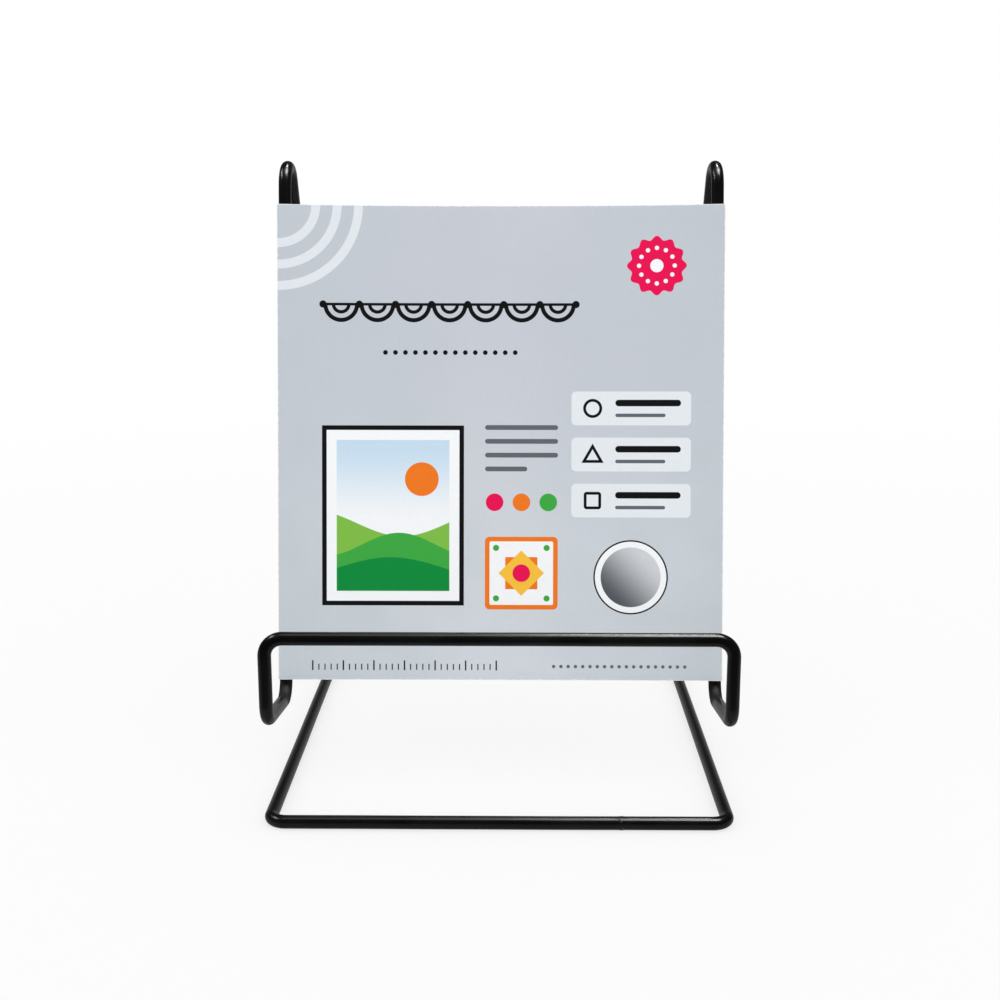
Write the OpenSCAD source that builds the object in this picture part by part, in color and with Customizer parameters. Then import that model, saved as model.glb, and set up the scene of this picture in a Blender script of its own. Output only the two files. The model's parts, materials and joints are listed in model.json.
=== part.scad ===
// Photo and album stand: one closed ring of coated wire, bent into an easel, with a display
// card standing in its seat. Millimetres, +Z up, front towards -Y. The origin lies on the
// table, under the middle of the stand's outer box.
//
// The wire is drawn as its straight runs and its bends, which meet face to face. Seen from
// the side, it goes down the lip post, back along the seat rung, up the back wire, over the
// hairpin, down the rear leg, round the heel and forward along the base rail.

/* [Wire] */
// Diameter of the coated wire
wire_d = 3.3; // [2.4:0.1:4.2]
// How far the bead, where the wire's two ends are welded together, stands out all round
weld_bulge = 0.15; // [0:0.05:0.5]
// Length of the weld bead along the wire
weld_w = 1.4; // [0.6:0.2:3]
// Distance of the weld to the right of the middle of the base bar
weld_x = 30; // [-30:1:30]

/* [Overall] */
// Width of the stand, over the wires
frame_w = 116; // [90:1:180]
// Height of the stand, from the table to the top of the hairpins
frame_h = 161.5; // [130:0.5:220]
// Depth of the base, from the front of the base bar to the back of the heels
base_d = 144; // [120:1:200]
// Lean of the back wires from upright, in degrees
lean = 10; // [5:1:20]

/* [Seat] */
// Free depth of the seat, between a lip post and a back wire at the rung
seat_d = 25.7; // [18:0.1:40]
// Height of the wire's middle where a rung meets a back wire
seat_z = 23; // [15:0.1:40]
// Fall of the rungs towards the back, in degrees
seat_fall = 8; // [0:1:15]
// Height of the middle of the lip bar above the lower end of its posts
lip_rise = 21; // [16:0.5:40]
// Distance of the lip bar behind the base bar
lip_setback = 1.2; // [0:0.1:20]

/* [Bends] */
// Radius of the lip bar's two corners, at the middle of the wire
lip_r = 4.4; // [3.5:0.1:7]
// Radius of the bend from a lip post into its rung
hook_r = 5; // [3:0.1:7]
// Radius of the bend from a rung into its back wire
seat_r = 5.2; // [3:0.1:7]
// Radius of the hairpins
hairpin_r = 6; // [4:0.1:12]
// Radius of the heels
heel_r = 6; // [4:0.1:12]
// Radius of the base's two front corners
base_r = 4; // [2.3:0.1:7]

/* [Display card] */
// How far the card reaches past the stand at each side
card_overhang = 0; // [-2:0.5:40]
// Height of the card
card_h = 123.7; // [60:0.1:200]
// Thickness of the card
card_t = 0.5; // [0.3:0.1:3]
// Running gap between the card and the wires that it leans and stands on
card_gap = 0.3; // [0.1:0.1:0.6]

/* [Hidden] */
$fn = 64;
LEFT = -1;
RIGHT = 1;
UP = 90;
DOWN = -90;
FORWARD = -180;
COAT = [0.09, 0.09, 0.10];
CARD = [0.78, 0.80, 0.83];

wire_r = wire_d / 2;
weld_d = wire_d + 2 * weld_bulge;
card_w = frame_w + 2 * card_overhang;
side_x = frame_w / 2 - wire_r;

// Side view, as [y, z] points and headings in degrees from +Y towards +Z
rung_heading = -seat_fall;
back_heading = UP - lean;
base_y = -base_d / 2 + wire_r;
post_y = base_y + lip_setback;
back_y = post_y + wire_d + seat_d;

function along(heading) = [cos(heading), sin(heading)];
function left_of(heading) = [-sin(heading), cos(heading)];
// Length that a bend of this radius takes from each of the two runs it joins
function tangent_length(radius, turn) = radius * tan(abs(turn) / 2);

// Corners of the seat, where the middles of the straight runs would cross
seat_corner = [back_y, seat_z];
hook_corner = [post_y, seat_z + (back_y - post_y) * tan(seat_fall)];
lip_z = hook_corner.y + lip_rise;

// Bend from the lip post into the rung
hook_in = hook_corner - tangent_length(hook_r, rung_heading - DOWN) * along(DOWN);
hook_out = hook_corner + tangent_length(hook_r, rung_heading - DOWN) * along(rung_heading);
hook_centre = hook_in + hook_r * left_of(DOWN);

// Bend from the rung into the back wire
seat_in = seat_corner - tangent_length(seat_r, back_heading - rung_heading) * along(rung_heading);
seat_out = seat_corner + tangent_length(seat_r, back_heading - rung_heading) * along(back_heading);
seat_centre = seat_in + seat_r * left_of(rung_heading);

// Hairpin, at the full height and tangent to the back wire
hairpin_z = frame_h - wire_r - hairpin_r;
hairpin_in_z = hairpin_z + hairpin_r * sin(lean);
hairpin_in = seat_corner + (hairpin_in_z - seat_z) / cos(lean) * along(back_heading);
hairpin_centre = hairpin_in - hairpin_r * left_of(back_heading);

// Heel, at the full depth and tangent to the table
heel_centre = [base_d / 2 - wire_r - heel_r, wire_r + heel_r];
heel_out = heel_centre + heel_r * left_of(FORWARD);

// Rear leg, the line that touches the outer sides of the hairpin and the heel
leg_span = heel_centre - hairpin_centre;
leg_heading = atan2(leg_span.y, leg_span.x) + asin((heel_r - hairpin_r) / norm(leg_span));
leg_top = hairpin_centre + hairpin_r * left_of(leg_heading);
leg_foot = heel_centre + heel_r * left_of(leg_heading);

// Display card, parallel to the back wires, with its lower edge where they start
card_foot = seat_out + (wire_r + card_gap) * left_of(back_heading);

// Puts a shape drawn in [y, z] into the upright plane of one side of the stand
module in_side_plane(side) {
    translate([side * side_x, 0, 0]) rotate([90, 0, 90]) children();
}

// Straight wire between two [y, z] points of the side view
module straight_run(side, start, end) {
    span = end - start;
    color(COAT)
        in_side_plane(side)
            translate([start.x, start.y, 0])
                rotate([0, 0, atan2(span.y, span.x)])
                    rotate([0, 90, 0])
                        cylinder(d = wire_d, h = norm(span));
}

// Round bend about a [y, z] centre; angles are those of the radius, from one end to the other
module side_bend(side, centre, radius, from, turn) {
    color(COAT)
        in_side_plane(side)
            translate([centre.x, centre.y, 0])
                wire_arc(radius, from, turn);
}

// Part of a ring of wire about Z
module wire_arc(radius, from, turn) {
    rotate([0, 0, from])
        rotate_extrude(angle = turn)
            translate([radius, 0]) circle(d = wire_d);
}

// Straight wire along X at a [y, z] point
module cross_run(from_x, to_x, point) {
    color(COAT)
        translate([from_x, point.x, point.y])
            rotate([0, 90, 0]) cylinder(d = wire_d, h = to_x - from_x);
}

// Quarter bend from the lip bar down into a post
module lip_corner(side) {
    color(COAT)
        translate([side * (side_x - lip_r), post_y, lip_z - lip_r])
            rotate([90, 0, 0])
                wire_arc(lip_r, side == RIGHT ? 0 : 90, 90);
}

module lip_post(side) {
    straight_run(side, [post_y, lip_z - lip_r], hook_in);
}

module hook_bend(side) {
    side_bend(side, hook_centre, hook_r, 180, rung_heading - DOWN);
}

module seat_rung(side) {
    straight_run(side, hook_out, seat_in);
}

module seat_bend(side) {
    side_bend(side, seat_centre, seat_r, rung_heading - 90, back_heading - rung_heading);
}

module back_wire(side) {
    straight_run(side, seat_out, hairpin_in);
}

module hairpin(side) {
    side_bend(side, hairpin_centre, hairpin_r, leg_heading + 90, back_heading - leg_heading);
}

module rear_leg(side) {
    straight_run(side, leg_top, leg_foot);
}

module heel(side) {
    side_bend(side, heel_centre, heel_r, FORWARD + 90, leg_heading - FORWARD);
}

module base_rail(side) {
    straight_run(side, heel_out, [base_y + base_r, wire_r]);
}

// Quarter bend, flat on the table, from a base rail into the base bar
module base_corner(side) {
    color(COAT)
        translate([side * (side_x - base_r), base_y + base_r, wire_r])
            wire_arc(base_r, side == RIGHT ? -90 : 180, 90);
}

// The two ends of the wire meet at the weld, so the base bar is a run on each side of it
module base_bar(side) {
    corner_x = side_x - base_r;
    if (side == RIGHT)
        cross_run(weld_x + weld_w / 2, corner_x, [base_y, wire_r]);
    else
        cross_run(-corner_x, weld_x - weld_w / 2, [base_y, wire_r]);
}

// Weld bead, dressed flat underneath so that the base still lies on the table
module butt_weld() {
    color(COAT)
        intersection() {
            translate([weld_x - weld_w / 2, base_y, wire_r])
                rotate([0, 90, 0]) cylinder(d = weld_d, h = weld_w);
            translate([weld_x - weld_w, base_y - weld_d, 0])
                cube([2 * weld_w, 2 * weld_d, 2 * weld_d]);
        }
}

module lip_bar() {
    corner_x = side_x - lip_r;
    cross_run(-corner_x, corner_x, [post_y, lip_z]);
}

// Printed card, which stands on the seat and leans on the back wires
module display_card() {
    color(CARD)
        translate([0, card_foot.x, card_foot.y])
            rotate([-lean, 0, 0])
                translate([-card_w / 2, -card_t, 0])
                    cube([card_w, card_t, card_h]);
}

module left_lip_corner() { lip_corner(LEFT); }
module right_lip_corner() { lip_corner(RIGHT); }
module left_lip_post() { lip_post(LEFT); }
module right_lip_post() { lip_post(RIGHT); }
module left_hook_bend() { hook_bend(LEFT); }
module right_hook_bend() { hook_bend(RIGHT); }
module left_seat_rung() { seat_rung(LEFT); }
module right_seat_rung() { seat_rung(RIGHT); }
module left_seat_bend() { seat_bend(LEFT); }
module right_seat_bend() { seat_bend(RIGHT); }
module left_back_wire() { back_wire(LEFT); }
module right_back_wire() { back_wire(RIGHT); }
module left_hairpin() { hairpin(LEFT); }
module right_hairpin() { hairpin(RIGHT); }
module left_rear_leg() { rear_leg(LEFT); }
module right_rear_leg() { rear_leg(RIGHT); }
module left_heel() { heel(LEFT); }
module right_heel() { heel(RIGHT); }
module left_base_rail() { base_rail(LEFT); }
module right_base_rail() { base_rail(RIGHT); }
module left_base_corner() { base_corner(LEFT); }
module right_base_corner() { base_corner(RIGHT); }
module left_base_bar() { base_bar(LEFT); }
module right_base_bar() { base_bar(RIGHT); }

lip_bar();
left_lip_corner();
right_lip_corner();
left_lip_post();
right_lip_post();
left_hook_bend();
right_hook_bend();
left_seat_rung();
right_seat_rung();
left_seat_bend();
right_seat_bend();
left_back_wire();
right_back_wire();
left_hairpin();
right_hairpin();
left_rear_leg();
right_rear_leg();
left_heel();
right_heel();
left_base_rail();
right_base_rail();
left_base_corner();
right_base_corner();
left_base_bar();
right_base_bar();
butt_weld();
display_card();
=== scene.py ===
import json
from math import atan2, ceil, cos, degrees, pi, radians, sin, tan

import bmesh
import bpy
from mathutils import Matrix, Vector
from mathutils.geometry import intersect_line_line


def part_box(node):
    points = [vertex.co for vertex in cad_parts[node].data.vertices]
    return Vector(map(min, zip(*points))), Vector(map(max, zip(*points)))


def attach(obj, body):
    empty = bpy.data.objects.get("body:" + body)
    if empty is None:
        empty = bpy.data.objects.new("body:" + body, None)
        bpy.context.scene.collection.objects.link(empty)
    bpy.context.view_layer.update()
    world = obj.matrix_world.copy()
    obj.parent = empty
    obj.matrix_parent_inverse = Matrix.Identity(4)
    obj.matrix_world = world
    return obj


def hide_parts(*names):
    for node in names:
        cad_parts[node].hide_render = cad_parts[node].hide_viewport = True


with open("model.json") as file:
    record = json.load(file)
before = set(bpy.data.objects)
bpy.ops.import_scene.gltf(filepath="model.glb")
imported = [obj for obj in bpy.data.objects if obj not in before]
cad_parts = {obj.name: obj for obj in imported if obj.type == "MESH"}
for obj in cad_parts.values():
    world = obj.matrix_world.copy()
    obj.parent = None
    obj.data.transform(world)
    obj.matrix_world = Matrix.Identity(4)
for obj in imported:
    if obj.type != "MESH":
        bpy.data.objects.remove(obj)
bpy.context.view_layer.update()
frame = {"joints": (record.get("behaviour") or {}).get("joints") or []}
print("easel and card loaded")


# Writing node trees

class Sock:  # one output of a node, so that what varies over a surface reads as plain sums
    def __init__(self, desk, socket):
        self.desk = desk
        self.socket = socket

    def __add__(self, other):
        return self.desk.maths("ADD", self, other)

    def __radd__(self, other):
        return self.desk.maths("ADD", other, self)

    def __sub__(self, other):
        return self.desk.maths("SUBTRACT", self, other)

    def __rsub__(self, other):
        return self.desk.maths("SUBTRACT", other, self)

    def __mul__(self, other):
        return self.desk.maths("MULTIPLY", self, other)

    def __rmul__(self, other):
        return self.desk.maths("MULTIPLY", other, self)

    def __truediv__(self, other):
        return self.desk.maths("DIVIDE", self, other)

    def __rtruediv__(self, other):
        return self.desk.maths("DIVIDE", other, self)

    def __abs__(self):
        return self.desk.maths("ABSOLUTE", self)


class Desk:  # where one node tree is put together
    def __init__(self, tree):
        self.tree = tree

    def feed(self, socket, value):
        if isinstance(value, Sock):
            self.tree.links.new(value.socket, socket)
        else:
            socket.default_value = value

    def node(self, kind, settings=None, inputs=None, give=None):  # gives one or more outputs
        made = self.tree.nodes.new(kind)
        for name, value in (settings or {}).items():
            setattr(made, name, value)
        for name, value in (inputs or {}).items():
            sockets = [s for s in made.inputs if s.name == name and s.enabled]
            self.feed(made.inputs[name] if isinstance(name, int) else sockets[0], value)
        offered = {s.name: Sock(self, s) for s in made.outputs if s.enabled and s.name}
        if isinstance(give, tuple):
            return [offered[name] for name in give]
        return offered[give] if give else next(iter(offered.values()), None)

    def maths(self, operation, *values):
        return self.node("ShaderNodeMath", {"operation": operation}, dict(enumerate(values)))

    def vectors(self, operation, *values):
        return self.node("ShaderNodeVectorMath", {"operation": operation}, dict(enumerate(values)))

    def least(self, one, other):
        return self.maths("MINIMUM", one, other)

    def most(self, one, other):
        return self.maths("MAXIMUM", one, other)

    def length(self, across, up):
        return self.maths("SQRT", across * across + up * up)

    def held(self, value, low=0.0, high=1.0):  # kept between two numbers
        return self.node("ShaderNodeClamp", None, {"Value": value, "Min": low, "Max": high})

    def rise(self, value, start, end):  # 0 up to start, then smoothly to 1 at end
        return self.node("ShaderNodeMapRange", {"interpolation_type": "SMOOTHSTEP"}, {
            "Value": value, "From Min": start, "From Max": end})

    def layer(self, cover, below, above):  # one colour over another
        return self.node("ShaderNodeMix", {"data_type": "RGBA"}, {
            "Factor": cover, "A": below, "B": above})

    def noise(self, place, scale, detail=2.0):
        return self.node("ShaderNodeTexNoise", None, {
            "Vector": place, "Scale": scale, "Detail": detail})

    def vector(self, x, y, z):
        return self.node("ShaderNodeCombineXYZ", None, {"X": x, "Y": y, "Z": z})

    def parts(self, vector):
        return self.node("ShaderNodeSeparateXYZ", None, {"Vector": vector}, ("X", "Y", "Z"))

    def attribute(self, name, give):
        return self.node("ShaderNodeAttribute", {"attribute_name": name}, None, give)

    def bump(self, height):  # height is in metres
        return self.node("ShaderNodeBump", None, {
            "Strength": 1.0, "Distance": 1.0, "Height": height})

    def surface(self, sockets):  # the one Principled surface that closes a material
        shader = self.node("ShaderNodeBsdfPrincipled", None, sockets)
        self.node("ShaderNodeOutputMaterial", None, {"Surface": shader})


def openMaterial(name, kind=Desk):
    material = bpy.data.materials.new(name)
    material.use_nodes = True
    material.node_tree.nodes.clear()
    return material, kind(material.node_tree)


def ink(red, green, blue):  # a screen colour from 0 to 255, as the light it stands for
    def light(value):
        share = value / 255
        return share / 12.92 if share <= 0.04045 else ((share + 0.055) / 1.055) ** 2.4
    return (light(red), light(green), light(blue), 1.0)


def settled(thing):  # what the modifiers make becomes the plain mesh
    graph = bpy.context.evaluated_depsgraph_get()
    made = thing.evaluated_get(graph)
    mesh = bpy.data.meshes.new_from_object(made, preserve_all_data_layers=True, depsgraph=graph)
    thing.modifiers.clear()
    thing.data = mesh


def shown(name, mesh):
    thing = bpy.data.objects.new(name, mesh)
    bpy.context.scene.collection.objects.link(thing)
    return thing


# Bent wire

wire = {
    "facets": 40,              # flat sides round the wire
    "bendStep": 5.0,           # degrees of a bend between two rings of points
    "straightStep": 0.004,     # between two rings of points along a straight run
    "slantRounds": 40,         # rounds in which a run's slant is found from its box
    "weldSteps": 12,           # rings of points over each half of the weld
    "weldSwell": 0.00006,
    "weldFlank": (0.35, 1.0),  # where the bead falls off, in half lengths of the weld
    "wander": 0.00005,         # how far a run may stray from dead straight
    "wanderSize": 0.030,       # over about this length
    "seed": 11,
}
# In order round the ring from the weld; the sign says whether a run climbs or falls to the back
wireRuns = (
    ("left_base_bar", 0), ("left_base_rail", 0), ("left_rear_leg", -1), ("left_back_wire", 1),
    ("left_seat_rung", -1), ("left_lip_post", 1), ("lip_bar", 0), ("right_lip_post", 1),
    ("right_seat_rung", -1), ("right_back_wire", 1), ("right_rear_leg", -1),
    ("right_base_rail", 0), ("right_base_bar", 0),
)
wireBends = ("lip_corner", "hook_bend", "seat_bend", "hairpin", "heel", "base_corner")


def gauge():
    low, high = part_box("lip_bar")
    return high.z - low.z


def runOf(name, climb):  # middle, direction and length of a straight run, from its box
    low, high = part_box(name)
    size = high - low
    middle = (low + high) / 2
    if size.x > size.y + size.z:
        return middle, Vector((1, 0, 0)), size.x
    thick = gauge()
    slant = atan2(size.y, size.z)
    for _ in range(wire["slantRounds"]):  # the box holds the wire's thickness too
        slant = atan2(size.y - thick * cos(slant), size.z - thick * sin(slant))
    along = Vector((0, sin(slant), cos(slant) * (climb or 1)))
    length = size.y * sin(slant) + size.z * cos(slant) - thick * sin(2 * slant)
    return middle, along, length


def wirePath():  # points of the ring's middle line, each with its bend's radius and rings
    runs = [runOf(name, climb) for name, climb in wireRuns]
    weldLow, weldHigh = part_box("butt_weld")
    weld = Vector(((weldLow.x + weldHigh.x) / 2, runs[0][0].y, runs[0][0].z))
    step = (weldHigh.x - weldLow.x) / 2 / wire["weldSteps"]
    points = [(weld - Vector((step * k, 0, 0)), 0.0, 0) for k in range(wire["weldSteps"] + 1)]
    for here, after in zip(runs, runs[1:] + [None]):
        middle, along, length = here
        onward = points[-1][0]
        forward = along if (middle - onward).dot(along) > 0 else -along
        count = ceil(length / wire["straightStep"])
        for k in range(count):
            points.append((middle + forward * length * ((k + 0.5) / count - 0.5), 0.0, 0))
        if after:
            corner = intersect_line_line(middle, middle + along, after[0], after[0] + after[1])[0]
            turn = (corner - middle).angle(after[0] - corner)
            radius = ((corner - middle).length - length / 2) / tan(turn / 2)
            points.append((corner, radius, ceil(degrees(turn) / wire["bendStep"])))
    points += [(weld + Vector((step * k, 0, 0)), 0.0, 0) for k in range(wire["weldSteps"], 0, -1)]
    return points


def pathObject(name, points):
    mesh = bpy.data.meshes.new(name)
    links = [(k, (k + 1) % len(points)) for k in range(len(points))]
    mesh.from_pydata([p[0] for p in points], links, [])
    for title, kind, part in (("bendRadius", "FLOAT", 1), ("bendRings", "INT", 2)):
        layer = mesh.attributes.new(title, kind, "POINT")
        layer.data.foreach_set("value", [p[part] for p in points])
    return shown(name, mesh)


def wireTree():  # rounds the path's corners and sweeps the wire along it
    tree = bpy.data.node_groups.new("bentWire", "GeometryNodeTree")
    inputs = {"Path": "Geometry", "Wire Radius": "Float", "Facets": "Int", "Weld Swell": "Float",
              "Weld Length": "Float", "Wander": "Float", "Wander Size": "Float", "Seed": "Int",
              "Coating": "Material"}
    for name, kind in inputs.items():
        tree.interface.new_socket(name, in_out="INPUT", socket_type="NodeSocket" + kind)
    tree.interface.new_socket("Wire", in_out="OUTPUT", socket_type="NodeSocketGeometry")
    desk = Desk(tree)
    path, radius, facets, swell, weldLength, wander, wanderSize, seed, coat = desk.node(
        "NodeGroupInput", None, None, tuple(inputs))
    line = desk.node("GeometryNodeMeshToCurve", None, {"Mesh": path})
    bend = desk.node("GeometryNodeInputNamedAttribute", {"data_type": "FLOAT"}, {
        "Name": "bendRadius"})
    rings = desk.node("GeometryNodeInputNamedAttribute", {"data_type": "INT"}, {
        "Name": "bendRings"})
    line = desk.node("GeometryNodeFilletCurve", {"mode": "POLY"}, {
        "Curve": line, "Count": rings, "Radius": bend, "Limit Radius": False})
    along = desk.node("GeometryNodeSplineParameter", None, None, "Length")
    around = desk.node("GeometryNodeSplineLength", None, None, "Length")
    line = desk.node("GeometryNodeStoreNamedAttribute", {"data_type": "FLOAT"}, {
        "Geometry": line, "Name": "alongWire", "Value": along})
    offWeld = desk.least(along, around - along) / weldLength * 2  # 1 at the weld's ends
    line = desk.node("GeometryNodeStoreNamedAttribute", {"data_type": "FLOAT"}, {
        "Geometry": line, "Name": "offWeld", "Value": offWeld})
    stray = desk.node("ShaderNodeTexNoise", {"noise_dimensions": "4D"}, {
        "Vector": desk.node("GeometryNodeInputPosition"), "W": seed, "Scale": 1 / wanderSize,
        "Detail": 0.0}, "Color")
    centred = desk.vectors("SUBTRACT", stray, (0.5, 0.5, 0.5))  # strays to both sides
    offset = desk.node("ShaderNodeVectorMath", {"operation": "SCALE"}, {
        "Vector": centred, "Scale": wander * 2})
    line = desk.node("GeometryNodeSetPosition", None, {"Geometry": line, "Offset": offset})
    circle = desk.node("GeometryNodeCurvePrimitiveCircle", None, {
        "Resolution": facets, "Radius": radius})
    facing = desk.vectors("NORMALIZE", desk.node("GeometryNodeInputPosition"))
    circle = desk.node("GeometryNodeStoreNamedAttribute", {"data_type": "FLOAT_VECTOR"}, {
        "Geometry": circle, "Name": "roundWire", "Value": facing})
    bead = 1 - desk.rise(offWeld, *wire["weldFlank"])
    tube = desk.node("GeometryNodeCurveToMesh", None, {
        "Curve": line, "Profile Curve": circle, "Scale": 1 + bead * swell / radius})
    x, y, z = desk.parts(desk.node("GeometryNodeInputPosition"))
    tube = desk.node("GeometryNodeSetPosition", None, {  # nothing below the table
        "Geometry": tube, "Position": desk.vector(x, y, desk.most(z, 0.0))})
    tube = desk.node("GeometryNodeSetShadeSmooth", None, {"Geometry": tube})
    tube = desk.node("GeometryNodeRealizeInstances", None, {"Geometry": tube})
    tube = desk.node("GeometryNodeSetMaterial", None, {"Geometry": tube, "Material": coat})
    desk.node("NodeGroupOutput", None, {"Wire": tube})
    return tree


# Texture scales are to the metre; sizes and reaches are where a mark starts and is gone
coating = {
    "dark": (0.0020, 0.0020, 0.0023, 1),
    "pale": (0.0045, 0.0045, 0.0050, 1),
    "bareSpeck": (0.20, 0.20, 0.20, 1),
    "gloss": 0.25,               # a satin coat mirrors less than a lacquer
    "roughness": 0.25,
    "roughLimits": (0.12, 0.7),
    "cloudScale": 70.0,          # slow changes of tone and roughness
    "cloudTone": (0.35, 0.7),
    "cloudRough": 0.10,
    "drawScale": (30, 7),        # faint lines from drawing the wire: along it and round it
    "drawRough": 0.12,
    "drawHeight": 0.0000010,
    "peelScale": 900.0,          # orange peel, about a millimetre across
    "peelHeight": 0.0000012,
    "nibScale": 170.0,           # dust caught in the coat
    "nibSize": (0.02, 0.09),
    "nibHeight": 0.000010,
    "rippleScale": 2600.0,       # uneven metal over the weld
    "rippleReach": (0.6, 1.1),   # in half lengths of the weld
    "rippleHeight": 0.00005,
    "speckScale": 1900.0,        # metal that shows through at the weld
    "speckSize": (0.30, 0.34),
    "speckReach": (0.3, 0.8),
    "speckRough": 0.2,
    "rubReach": (0.003, 0.008),  # from the seat bends, where cards stand and rub the coat matt
    "rubRough": 0.40,
}


def wireCoat():
    material, desk = openMaterial("blackCoat")
    place = desk.node("ShaderNodeTexCoord", None, None, "Object")
    along = desk.attribute("alongWire", "Fac")
    facingX, facingY = desk.parts(desk.attribute("roundWire", "Vector"))[:2]
    offWeld = desk.attribute("offWeld", "Fac")
    lengthwise, roundwise = coating["drawScale"]
    lines = desk.vector(along * lengthwise, facingX * roundwise, facingY * roundwise)
    drawn = desk.noise(lines, 1.0, detail=3.0)
    peel = desk.noise(place, coating["peelScale"], detail=1.0)
    cloud = desk.noise(place, coating["cloudScale"], detail=3.0)
    nibs = desk.node("ShaderNodeTexVoronoi", None, {
        "Vector": place, "Scale": coating["nibScale"]}, "Distance")
    nib = 1 - desk.rise(nibs, *coating["nibSize"])
    ripple = desk.noise(place, coating["rippleScale"])
    ripple = ripple * (1 - desk.rise(offWeld, *coating["rippleReach"]))
    speck = desk.noise(place, coating["speckScale"], detail=1.0)
    speck = 1 - desk.rise(speck, *coating["speckSize"])
    speck = speck * (1 - desk.rise(offWeld, *coating["speckReach"]))
    tone = desk.rise(cloud, *coating["cloudTone"])
    colour = desk.layer(tone, coating["dark"], coating["pale"])
    colour = desk.layer(speck, colour, coating["bareSpeck"])
    y, z = desk.parts(place)[1:]
    low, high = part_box("left_seat_bend")
    fromSeat = desk.length(y - (low.y + high.y) / 2, z - (low.z + high.z) / 2)
    rub = 1 - desk.rise(fromSeat, *coating["rubReach"])
    rough = coating["roughness"] + (drawn - 0.5) * coating["drawRough"]
    rough = rough + (cloud - 0.5) * coating["cloudRough"] + speck * coating["speckRough"]
    rough = rough + rub * coating["rubRough"]
    height = peel * coating["peelHeight"] + drawn * coating["drawHeight"]
    height = height + nib * coating["nibHeight"] + ripple * coating["rippleHeight"]
    desk.surface({"Base Color": colour, "Roughness": desk.held(rough, *coating["roughLimits"]),
                  "Specular IOR Level": coating["gloss"], "Normal": desk.bump(height)})
    return material


def buildWire():
    thing = pathObject("coatedWire", wirePath())
    tree = wireTree()
    low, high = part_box("butt_weld")
    given = {
        "Wire Radius": gauge() / 2, "Facets": wire["facets"], "Weld Swell": wire["weldSwell"],
        "Weld Length": high.x - low.x, "Wander": wire["wander"], "Wander Size": wire["wanderSize"],
        "Seed": wire["seed"], "Coating": wireCoat(),
    }
    sweep = thing.modifiers.new("sweep", "NODES")
    sweep.node_group = tree
    for item in tree.interface.items_tree:
        if item.in_out == "INPUT" and item.name in given:
            sweep[item.identifier] = given[item.name]
    settled(thing)
    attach(thing, "wire_ring")
    bends = [side + bend for side in ("left_", "right_") for bend in wireBends]
    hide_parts("butt_weld", *[name for name, climb in wireRuns], *bends)
    return thing


ring = buildWire()
print("wire bent,", len(ring.data.polygons), "faces")


# Display card

card = {
    "cellsAcross": 40,
    "cellsUp": 44,
    "edgeRadius": 0.00010,  # of the cut edge's soft arrises
    "edgeSteps": 3,
    "sagTop": 0.0021,       # how far the middle sinks back between the wires at the upper edge
    "sagFoot": 0.0004,      # and at the lower edge
    "sagGrowth": 1.5,       # power by which the sag grows upwards
    "curl": 0.0008,         # how far the upper corners stand forward
    "curlGrowth": (4, 3),   # powers by which the curl grows sideways and upwards
}


def cardFrame():  # lower left front corner, the three directions and the three sizes of the card
    low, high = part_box("display_card")
    size = high - low
    up = Vector(frame["joints"][0]["axis"]).normalized()  # the card lifts along its own face
    spread = up.z ** 2 - up.y ** 2
    height = (size.z * up.z - size.y * up.y) / spread
    thick = (size.y * up.z - size.z * up.y) / spread
    foot = Vector((low.x, low.y, low.z + thick * up.y))
    return foot, up, Vector((0, -up.z, up.y)), size.x, height, thick


def cardMesh():
    foot, up, out, width, height, thick = cardFrame()
    across, tall = card["cellsAcross"], card["cellsUp"]
    sideways, upwards = card["curlGrowth"]
    bm = bmesh.new()
    places = bm.loops.layers.uv.new("cardPlace")
    depths = bm.verts.layers.float.new("cardDepth")
    flat = {}

    def point(k, j, inset, depth):  # grid place, distance in from the edge, depth behind the face
        u = inset + (width - 2 * inset) * k / across
        v = inset + (height - 2 * inset) * j / tall
        side, share = 2 * u / width - 1, v / height
        sag = card["sagTop"] - card["sagFoot"]
        sag = card["sagFoot"] + sag * share ** card["sagGrowth"]
        curl = card["curl"] * side ** sideways * share ** upwards
        forward = curl - sag * (1 - side ** 2)
        vert = bm.verts.new(foot + Vector((u, 0, 0)) + up * v + out * (forward - depth))
        vert[depths] = depth / thick
        flat[vert] = (u / width, v / height)
        return vert

    def sheet(depth):
        inset = card["edgeRadius"]
        return [[point(k, j, inset, depth) for k in range(across + 1)] for j in range(tall + 1)]

    rim = [(k, 0) for k in range(across)] + [(across, j) for j in range(tall)]
    rim += [(k, tall) for k in range(across, 0, -1)] + [(0, j) for j in range(tall, 0, -1)]
    front, rear = sheet(0.0), sheet(thick)
    profile, radius = [], card["edgeRadius"]
    for k in range(1, card["edgeSteps"] + 1):
        swing = pi / 2 * k / card["edgeSteps"]
        profile.append((radius * (1 - sin(swing)), radius * (1 - cos(swing))))
    profile += [(inset, thick - depth) for inset, depth in reversed(profile)]
    loops = [[front[j][k] for k, j in rim]]
    loops += [[point(k, j, inset, depth) for k, j in rim] for inset, depth in profile]
    loops += [[rear[j][k] for k, j in rim]]

    def skin(corners, material):
        quad = bm.faces.new(corners)
        quad.material_index = material
        quad.smooth = True
        for loop in quad.loops:
            loop[places].uv = flat[loop.vert]

    for j in range(tall):
        for k in range(across):
            skin((front[j][k], front[j][k + 1], front[j + 1][k + 1], front[j + 1][k]), 0)
            skin((rear[j][k], rear[j + 1][k], rear[j + 1][k + 1], rear[j][k + 1]), 2)
    for near, far in zip(loops, loops[1:]):
        for k in range(len(rim)):
            after = (k + 1) % len(rim)
            skin((near[k], far[k], far[after], near[after]), 1)
    mesh = bpy.data.meshes.new("displayCard")
    bm.to_mesh(mesh)
    bm.free()
    return mesh


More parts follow.
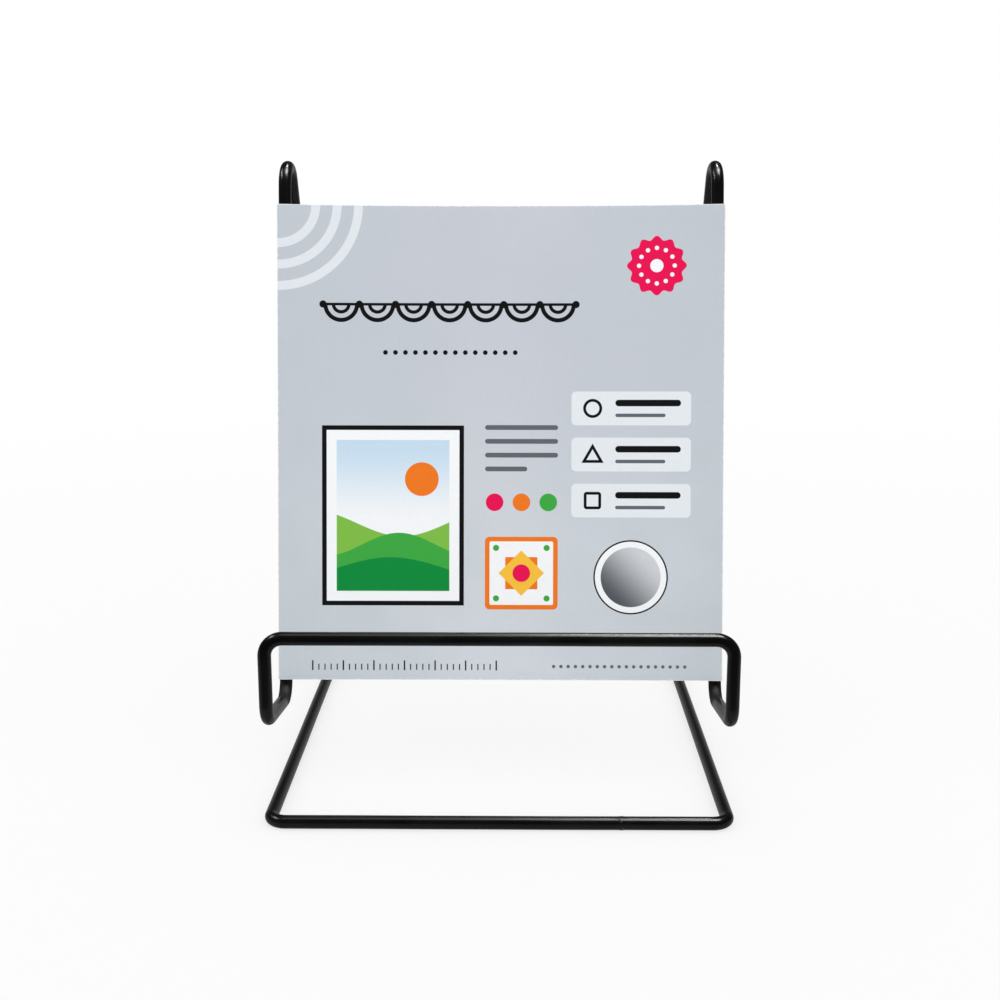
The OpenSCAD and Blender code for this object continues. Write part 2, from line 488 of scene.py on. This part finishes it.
# The colours of the print, and of the painted light and shade on its ground
poster = {
    "ground": ink(197, 201, 209),
    # painted shade: a darker, cooler ground, laid on towards the sides and in slow random clouds
    "groundCoolAndSideShade": ink(187, 196, 202),
    # painted light: a paler ground for the card's foot, as if lit from the floor
    "groundLitFoot": ink(210, 216, 222),
    "pale": ink(226, 231, 236),
    "white": ink(243, 245, 247),
    "crimson": ink(232, 10, 82),
    "dark": ink(20, 21, 24),
    "grey": ink(98, 103, 111),
    "orange": ink(238, 120, 30),
    "yellow": ink(246, 192, 62),
    "leafLight": ink(126, 188, 71),
    "leafMid": ink(62, 168, 66),
    "leafDark": ink(8, 140, 60),
    "sky": ink(196, 219, 236),
    "shadeDark": ink(84, 88, 94),
    "shadePale": ink(206, 210, 214),
    "softness": 0.07,  # how far an ink edge spreads into the board, in millimetres
}
# The print is a plain made-up design, in millimetres from the card's lower left corner.
# A row is its first place, its pitch and its count; a slab its middle, size and corner radius.
layout = {
    "cornerArcs": {"row": (10, 5.5, 3), "width": 2.3, "strength": 0.9},
    "rosette": {"at": (98.5, 108), "radius": 7.2, "lobes": 12, "lobeHeight": 0.5,
                "dotsOut": 4.6, "dot": 0.55, "eye": 1.7},
    "garland": {"top": 98, "swags": (16.5, 9.4, 7), "arcs": ((4.1, 1.1), (2.0, 0.9)),
                "cord": ((44.7, 98), (66, 0.7), 0.35), "knots": (11.8, 9.4, 8), "knot": 0.95,
                "beads": (28, 2.6, 14), "beadsAt": 85.5, "bead": 0.62},
    "labelPanels": {"rows": (47, 12, 3), "panel": ((92, 0), (31, 8.8), 1.2),
                    "heading": ((96.4, 1.4), (17, 1.7), 0.85),
                    "text": ((94.4, -1.8), (13, 0.9), 0.45),
                    "signs": 82, "signStroke": 0.75, "ring": (71, 2.1),
                    "triangle": (58.5, 1.3), "square": (47, 3.8, 0.4)},
    "landscape": {"at": (30, 43), "frame": (37, 47), "mount": (34.6, 44.6),
                  "window": (29.4, 39.4), "haze": (40, 62), "sun": ((37.5, 52.5), 4.4),
                  "hills": ((41, 3.4, 7.5, 0.4, "leafLight"), (35.5, 3.0, 6.0, 2.6, "leafMid"),
                            (29.5, 2.6, 8.5, 4.4, "leafDark"))},
    "starTile": {"at": (63.5, 28), "border": ((19, 19), 1.2), "field": ((16.6, 16.6), 0.4),
                 "dotsAt": (6.6, 6.6), "dot": 0.8, "star": (8.4, 8.4), "eye": 2.3},
    "moonRoundel": {"at": (92, 27), "rim": 9.7, "mount": 9.3, "moon": 7.8, "shade": (108, 130)},
    "captions": {"rows": (58.8, 3.6, 3), "line": ((63.5, 0), (19, 1.25), 0.6),
                 "lastLine": ((59.5, 55.2), (11, 1.25), 0.6), "dotsAt": 46.5, "dot": 2.3,
                 "dots": ((56.5, "crimson"), (63.5, "orange"), (70.5, "leafMid"))},
    "ruler": {"ticks": (9, 1.6, 31), "tick": ((0, 3.4), (0.3, 1.6)),
              "longTicks": (9, 8, 7), "longTick": ((0, 3.8), (0.38, 2.6)),
              "dots": (72, 1.9, 19), "dot": ((0, 3.6), 0.45)},
}


class Press(Desk):  # lays one motif over another on the card
    def load(self, across, up, ground):
        self.at = (across, up)
        self.colour = ground
        self.inked = None

    def disc(self, middle, radius, at=None):
        across, up = at or self.at
        return self.length(across - middle[0], up - middle[1]) - radius

    def slab(self, middle, size, corner=0.0, at=None):
        across, up = at or self.at
        overX = abs(across - middle[0]) - (size[0] / 2 - corner)
        overY = abs(up - middle[1]) - (size[1] / 2 - corner)
        outer = self.length(self.most(overX, 0), self.most(overY, 0))
        return outer + self.least(self.most(overX, overY), 0) - corner

    def stroke(self, shape, width):
        return abs(shape) - width / 2

    def nearest(self, value, first, pitch, count):  # measured from the nearest of a row of places
        step = self.held(self.maths("ROUND", (value - first) / pitch), 0, count - 1)
        return value - first - step * pitch

    def lay(self, shape, colour, strength=1.0):
        cover = self.held(0.5 - shape / poster["softness"]) * strength
        self.colour = self.layer(cover, self.colour, colour)
        self.inked = cover if self.inked is None else self.most(self.inked, cover)


def cornerArcs(press, height):
    arcs = layout["cornerArcs"]
    rings = press.nearest(press.disc((0, height), 0), *arcs["row"])
    press.lay(press.stroke(rings, arcs["width"]), poster["pale"], arcs["strength"])


def rosette(press):
    bloom = layout["rosette"]
    across = press.at[0] - bloom["at"][0]
    up = press.at[1] - bloom["at"][1]
    far = press.length(across, up)
    angle = press.maths("ARCTAN2", up, across)
    lobes = press.maths("COSINE", angle * bloom["lobes"]) * bloom["lobeHeight"]
    press.lay(far - lobes - bloom["radius"], poster["crimson"])
    step = 2 * pi / bloom["lobes"]
    swing = angle - press.maths("ROUND", angle / step) * step
    local = (far * press.maths("COSINE", swing), far * press.maths("SINE", swing))
    press.lay(press.disc((bloom["dotsOut"], 0), bloom["dot"], local), poster["white"])
    press.lay(press.disc(bloom["at"], bloom["eye"]), poster["white"])


def garland(press):
    string = layout["garland"]
    top = string["top"]
    across, up = press.at
    swags = (press.nearest(across, *string["swags"]), up)
    for radius, width in string["arcs"]:
        arc = press.stroke(press.disc((0, top), radius, swags), width)
        press.lay(press.most(arc, up - top), poster["dark"])
    press.lay(press.slab(*string["cord"]), poster["dark"])
    knots = (press.nearest(across, *string["knots"]), up)
    press.lay(press.disc((0, top), string["knot"], knots), poster["dark"])
    beads = (press.nearest(across, *string["beads"]), up)
    press.lay(press.disc((0, string["beadsAt"]), string["bead"], beads), poster["dark"])


def labelPanels(press):
    label = layout["labelPanels"]
    across, up = press.at
    row = (across, press.nearest(up, *label["rows"]))
    press.lay(press.slab(*label["panel"], row), poster["pale"])
    press.lay(press.slab(*label["heading"], row), poster["dark"])
    press.lay(press.slab(*label["text"], row), poster["grey"])
    signs, stroke = label["signs"], label["signStroke"]
    tall, radius = label["ring"]
    press.lay(press.stroke(press.disc((signs, tall), radius), stroke), poster["dark"])
    tall, side, corner = label["square"]
    square = press.slab((signs, tall), (side, side), corner)
    press.lay(press.stroke(square, stroke), poster["dark"])
    tall, radius = label["triangle"]
    slope = abs(across - signs) * sin(pi / 3) + (up - tall) * 0.5
    press.lay(press.stroke(press.most(slope, tall - up) - radius, stroke), poster["dark"])


def landscape(press):
    view = layout["landscape"]
    across, up = press.at
    press.lay(press.slab(view["at"], view["frame"]), poster["dark"])
    press.lay(press.slab(view["at"], view["mount"]), poster["white"])
    window = press.slab(view["at"], view["window"])
    sky = press.layer(press.rise(up, *view["haze"]), poster["white"], poster["sky"])
    press.lay(window, sky)
    press.lay(press.most(press.disc(*view["sun"]), window), poster["orange"])
    for base, lift, stretch, shift, colour in view["hills"]:
        brow = base + press.maths("SINE", across / stretch + shift) * lift
        press.lay(press.most(up - brow, window), poster[colour])


def starTile(press):
    tile = layout["starTile"]
    across = press.at[0] - tile["at"][0]
    up = press.at[1] - tile["at"][1]
    press.lay(press.slab(tile["at"], *tile["border"]), poster["orange"])
    press.lay(press.slab(tile["at"], *tile["field"]), poster["white"])
    corners = (abs(across), abs(up))
    press.lay(press.disc(tile["dotsAt"], tile["dot"], corners), poster["leafMid"])
    press.lay(press.slab((0, 0), tile["star"], 0, (across, up)), poster["orange"])
    turned = ((across + up) * sin(pi / 4), (up - across) * sin(pi / 4))
    press.lay(press.slab((0, 0), tile["star"], 0, turned), poster["yellow"])
    press.lay(press.disc(tile["at"], tile["eye"]), poster["crimson"])


def moonRoundel(press):
    moon = layout["moonRoundel"]
    across, up = press.at
    press.lay(press.disc(moon["at"], moon["rim"]), poster["dark"])
    press.lay(press.disc(moon["at"], moon["mount"]), poster["white"])
    shade = press.rise(across + up, *moon["shade"])
    shade = press.layer(shade, poster["shadeDark"], poster["shadePale"])
    press.lay(press.disc(moon["at"], moon["moon"]), shade)


def captions(press):
    caption = layout["captions"]
    across, up = press.at
    rows = (across, press.nearest(up, *caption["rows"]))
    press.lay(press.slab(*caption["line"], rows), poster["grey"])
    press.lay(press.slab(*caption["lastLine"]), poster["grey"])
    for middle, colour in caption["dots"]:
        press.lay(press.disc((middle, caption["dotsAt"]), caption["dot"]), poster[colour])


def ruler(press):
    scale = layout["ruler"]
    across, up = press.at
    ticks = (press.nearest(across, *scale["ticks"]), up)
    longTicks = (press.nearest(across, *scale["longTicks"]), up)
    dots = (press.nearest(across, *scale["dots"]), up)
    press.lay(press.slab(*scale["tick"], 0, ticks), poster["dark"])
    press.lay(press.slab(*scale["longTick"], 0, longTicks), poster["dark"])
    press.lay(press.disc(*scale["dot"], dots), poster["grey"])


# The card's face, with texture scales to the millimetre and heights in metres
face = {
    "gloss": 0.08,              # a thin satin varnish
    "roughness": 0.46,
    "plainTone": 0.965,         # share of the ink's colour that is left between the mottles
    "litFoot": (0.0, 0.75),    # painted light: shares of the height between which the paler foot, lit from the floor, fades out
    "cloudScale": 0.045,        # slow changes of colour
    "cloudCool": 0.8,
    "sideShade": 0.6,            # painted shade: the colour is also darker and cooler towards the sides, where the bowed card turns from the light
    "mottleScale": 0.9,
    "mottleTone": 0.05,
    "mottleRough": 0.08,
    "mottleHeight": 0.000004,
    "fibreStretch": (2.2, 0.7),
    "fibreScale": 2.4,
    "fibreTone": 0.03,
    "fibreHeight": 0.0000025,
    "inkRough": 0.05,           # ink is a little smoother than the ground, and flattens it
    "inkHeight": 0.000001,
    "wornReach": (0.05, 0.28),  # in from the cut edge, where handling has paled the print
    "wornRagged": 0.5,
    "wornTone": 0.75,
    "wornRough": 0.2,
}


def printedFace():
    material, press = openMaterial("printedFace", Press)
    width, height = [side * 1000 for side in cardFrame()[3:5]]  # in millimetres
    u, v = press.parts(press.node("ShaderNodeUVMap", {"uv_map": "cardPlace"}))[:2]
    across, tall = u * width, v * height
    cloud = press.noise(press.vector(across, tall, 0), face["cloudScale"])
    toSide = abs(u - 0.5) * 2
    # painted light: the ground is paler towards the foot, standing in for light thrown up from the
    # floor
    foot = 1 - press.rise(v, *face["litFoot"])
    ground = press.layer(foot, poster["ground"], poster["groundLitFoot"])
    # painted shade towards the sides, mixed with random cool clouds
    coolAndSideShade = press.held(toSide * face["sideShade"] + (cloud - 0.5) * face["cloudCool"])
    press.load(across, tall, press.layer(coolAndSideShade, ground, poster["groundCoolAndSideShade"]))
    cornerArcs(press, height)
    for motif in (rosette, garland, labelPanels, landscape, starTile, moonRoundel,
                  captions, ruler):
        motif(press)
    mottle = press.noise(press.vector(across, tall, 0), face["mottleScale"], detail=3.0)
    wide, long = face["fibreStretch"]
    strands = press.vector(across * wide, tall * long, 0)
    fibre = press.noise(strands, face["fibreScale"], detail=3.0)
    tone = face["plainTone"] + mottle * face["mottleTone"] + (fibre - 0.5) * face["fibreTone"]
    colour = press.node("ShaderNodeMix", {"data_type": "RGBA", "blend_type": "MULTIPLY"}, {
        "Factor": 1.0, "A": press.colour, "B": press.node("ShaderNodeCombineColor", None, {
            "Red": tone, "Green": tone, "Blue": tone})})
    inFromSide = width / 2 - abs(across - width / 2)
    toEdge = press.least(inFromSide, height / 2 - abs(tall - height / 2))
    ragged = (mottle - 0.5) * face["wornRagged"]
    worn = 1 - press.rise(toEdge - ragged, *face["wornReach"])
    colour = press.layer(worn * face["wornTone"], colour, poster["white"])
    rough = face["roughness"] - press.inked * face["inkRough"]
    rough = rough + (mottle - 0.5) * face["mottleRough"] + worn * face["wornRough"]
    relief = fibre * face["fibreHeight"] + mottle * face["mottleHeight"]
    relief = relief - press.inked * face["inkHeight"]
    press.surface({"Base Color": colour, "Roughness": rough,
                   "Specular IOR Level": face["gloss"], "Normal": press.bump(relief)})
    return material


# The board under the print: grey in the middle of its thickness, white on both sides
cut = {
    "middle": ink(206, 203, 196),
    "whitePly": ink(240, 241, 241),
    "fleck": ink(150, 146, 138),
    "roughness": 0.9,
    "plyRange": (0.33, 0.40),  # where the white begins, from the middle of the thickness
    "fuzzScale": 5200.0,
    "fuzzShift": 0.15,
    "fuzzHeight": 0.00003,
    "fleckScale": 3000.0,
    "fleckSize": (0.62, 0.70),
    "fleckStrength": 0.5,
}


def cutEdge():
    material, desk = openMaterial("cutEdge")
    place = desk.node("ShaderNodeTexCoord", None, None, "Object")
    depth = desk.attribute("cardDepth", "Fac")
    fuzz = desk.noise(place, cut["fuzzScale"])
    ply = desk.rise(abs(depth + (fuzz - 0.5) * cut["fuzzShift"] - 0.5), *cut["plyRange"])
    fleck = desk.noise(place, cut["fleckScale"], detail=1.0)
    fleck = desk.rise(fleck, *cut["fleckSize"])
    colour = desk.layer(ply, cut["middle"], cut["whitePly"])
    colour = desk.layer(fleck * cut["fleckStrength"], colour, cut["fleck"])
    desk.surface({"Base Color": colour, "Roughness": cut["roughness"],
                  "Normal": desk.bump(fuzz * cut["fuzzHeight"])})
    return material


# The plain back, with texture scales to the metre
back = {
    "cloud": ink(217, 216, 212),
    "plain": ink(220, 219, 216),
    "fleck": ink(158, 154, 146),
    "fibre": ink(234, 233, 230),
    "roughness": 0.82,
    "cloudScale": 60.0,
    "cloudRange": (0.3, 0.7),
    "fleckScale": 1500.0,
    "fleckSize": (0.70, 0.76),
    "fleckStrength": 0.35,
    "fibreScale": (900, 2600, 2600),  # longest from side to side
    "fibreRange": (0.5, 0.8),
    "fibreStrength": 0.3,
    "fibreRough": 0.1,
    "fibreHeight": 0.00001,
}


def boardBack():
    material, desk = openMaterial("boardBack")
    place = desk.node("ShaderNodeTexCoord", None, None, "Object")
    cloud = desk.noise(place, back["cloudScale"], detail=3.0)
    strands = [part * scale for part, scale in zip(desk.parts(place), back["fibreScale"])]
    fibre = desk.noise(desk.vector(*strands), 1.0, detail=3.0)
    fleck = desk.noise(place, back["fleckScale"], detail=1.0)
    fleck = desk.rise(fleck, *back["fleckSize"])
    strand = desk.rise(fibre, *back["fibreRange"])
    colour = desk.layer(desk.rise(cloud, *back["cloudRange"]), back["cloud"], back["plain"])
    colour = desk.layer(fleck * back["fleckStrength"], colour, back["fleck"])
    colour = desk.layer(strand * back["fibreStrength"], colour, back["fibre"])
    desk.surface({"Base Color": colour,
                  "Roughness": back["roughness"] + (fibre - 0.5) * back["fibreRough"],
                  "Normal": desk.bump(fibre * back["fibreHeight"])})
    return material


def buildCard():
    thing = shown("displayCard", cardMesh())
    for material in (printedFace(), cutEdge(), boardBack()):
        thing.data.materials.append(material)
    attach(thing, "card")
    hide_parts("display_card")
    return thing


board = buildCard()
print("card printed and cut,", len(board.data.polygons), "faces")


# Studio

studio = {
    "floorSize": 8.0,
    "floor": (0.95, 0.95, 0.955, 1),
    "paleness": 0.72,               # how far the floor near the object is lifted towards white
    "fade": (0.25, 0.80),           # distances between which the lift becomes complete
    "frontFill": 1.15,              # plain light from the front and from behind
    "backFill": 0.82,
    "fillTurn": 0.35,               # how gradually one becomes the other
    "room": 0.03,                   # what gloss sees, except for the table and the backdrop
    "mirroredBackdrop": 0.35,
    "backdropSides": (0.50, 0.90),  # where the mirrored backdrop begins at its sides
    "backdropTop": (0.16, 0.42),    # and where it ends at its top
    "mirroredTable": 0.45,
    "tableEdge": -0.105,            # the lit table ends here in front
    "tableEdgeBlur": 0.03,
}
# Soft lamps over the object, for the highlights along the wires; the even light is the world's
lamps = {
    "brightStrip": {"at": (0.342, -0.14, 1.12), "size": (0.50, 0.46), "power": 22.5},
    "dimStrip": {"at": (-0.128, -0.14, 1.12), "size": (0.44, 0.46), "power": 1.5},
    "rearSpot": {"at": (0.13, 0.27, 0.95), "size": (0.15, 0.09), "power": 4.4},
    "leftPanel": {"at": (-0.66, -0.05, 0.75), "size": (0.20, 0.50), "power": 5.0},
}


def seenDirectly(desk):  # 1 for what the camera, gloss and glass look at
    camera, gloss, glass = desk.node("ShaderNodeLightPath", None, None, (
        "Is Camera Ray", "Is Glossy Ray", "Is Transmission Ray"))
    return desk.most(camera, desk.most(gloss, glass))


def onlyMirrored(desk):  # 1 for what gloss looks at and the camera doesn't
    camera, gloss = desk.node("ShaderNodeLightPath", None, None, (
        "Is Camera Ray", "Is Glossy Ray"))
    return gloss * (1 - camera)


def layFloor():
    reach = studio["floorSize"] / 2
    corners = [(-reach, -reach, 0), (reach, -reach, 0), (reach, reach, 0), (-reach, reach, 0)]
    mesh = bpy.data.meshes.new("floor")
    mesh.from_pydata(corners, [], [(0, 1, 2, 3)])
    material, desk = openMaterial("paleFloor")
    x, y = desk.parts(desk.node("ShaderNodeTexCoord", None, None, "Object"))[:2]
    fade = desk.rise(desk.length(x, y), *studio["fade"])
    shade = desk.node("ShaderNodeBsdfDiffuse", None, {"Color": studio["floor"]})
    white = desk.node("ShaderNodeEmission", None, {"Color": (1, 1, 1, 1), "Strength": 1.0})
    lift = (studio["paleness"] + fade * (1 - studio["paleness"])) * seenDirectly(desk)
    pale = desk.node("ShaderNodeMixShader", None, {0: lift, 1: shade, 2: white})
    dark = desk.node("ShaderNodeEmission", None, {
        "Color": (1, 1, 1, 1), "Strength": studio["room"]})
    loss = 1 - studio["mirroredTable"]
    beyond = desk.rise(studio["tableEdge"] - y, 0.0, studio["tableEdgeBlur"])
    beyond = beyond * (1 - loss) + loss
    both = desk.node("ShaderNodeMixShader", None, {
        0: beyond * onlyMirrored(desk), 1: pale, 2: dark})
    desk.node("ShaderNodeOutputMaterial", None, {"Surface": both})
    mesh.materials.append(material)
    shown("floor", mesh)


def hangLamps():  # they shine straight down
    for name, lamp in lamps.items():
        light = bpy.data.lights.new(name, "AREA")
        light.shape = "RECTANGLE"
        light.size, light.size_y = lamp["size"]
        light.energy = lamp["power"]
        thing = bpy.data.objects.new(name, light)
        thing.location = lamp["at"]
        thing.visible_diffuse = False  # only gloss sees them
        bpy.context.scene.collection.objects.link(thing)


def lightWorld():  # a white backdrop in a plain studio, dim where only gloss looks
    world = bpy.data.worlds.new("studio")
    world.use_nodes = True
    world.node_tree.nodes.clear()
    desk = Desk(world.node_tree)
    seen = seenDirectly(desk)
    y, z = desk.parts(desk.node("ShaderNodeTexCoord", None, None, "Generated"))[1:]
    turn = desk.rise(0 - y, -studio["fillTurn"], studio["fillTurn"])
    fill = studio["backFill"] + turn * (studio["frontFill"] - studio["backFill"])
    backdrop = desk.rise(y, *studio["backdropSides"])
    backdrop = backdrop * (1 - desk.rise(z, *studio["backdropTop"]))
    gain = studio["mirroredBackdrop"] - studio["room"]
    dim = onlyMirrored(desk) * (1 - studio["room"] - backdrop * gain)
    light = desk.node("ShaderNodeBackground", None, {
        "Color": (1, 1, 1, 1), "Strength": seen * (1 - dim) + (1 - seen) * fill})
    desk.node("ShaderNodeOutputWorld", None, {"Surface": light})
    bpy.context.scene.world = world


viewpoint = {
    "lens": 50.0,
    "sensor": 36.0,
    "nearest": 0.01,  # nothing closer is drawn
    "ahead": 0.3174,  # in front of the base bar
    "aside": 0.0035,  # to the right of the middle
    "height": 0.1473,
    "tilt": 11.57,    # degrees downwards
    "turn": 0.58,     # degrees to the left
}


def setCamera():
    low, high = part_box("left_base_bar")
    lens = bpy.data.cameras.new("camera")
    lens.lens = viewpoint["lens"]
    lens.sensor_width = viewpoint["sensor"]
    lens.clip_start = viewpoint["nearest"]
    camera = bpy.data.objects.new("camera", lens)
    front = (low.y + high.y) / 2 - viewpoint["ahead"]
    camera.location = (viewpoint["aside"], front, viewpoint["height"])
    camera.rotation_euler = (radians(90 - viewpoint["tilt"]), 0, radians(viewpoint["turn"]))
    bpy.context.scene.collection.objects.link(camera)
    bpy.context.scene.camera = camera


layFloor()
hangLamps()
lightWorld()
setCamera()
bpy.context.scene.view_settings.view_transform = "Standard"
print("studio lit")
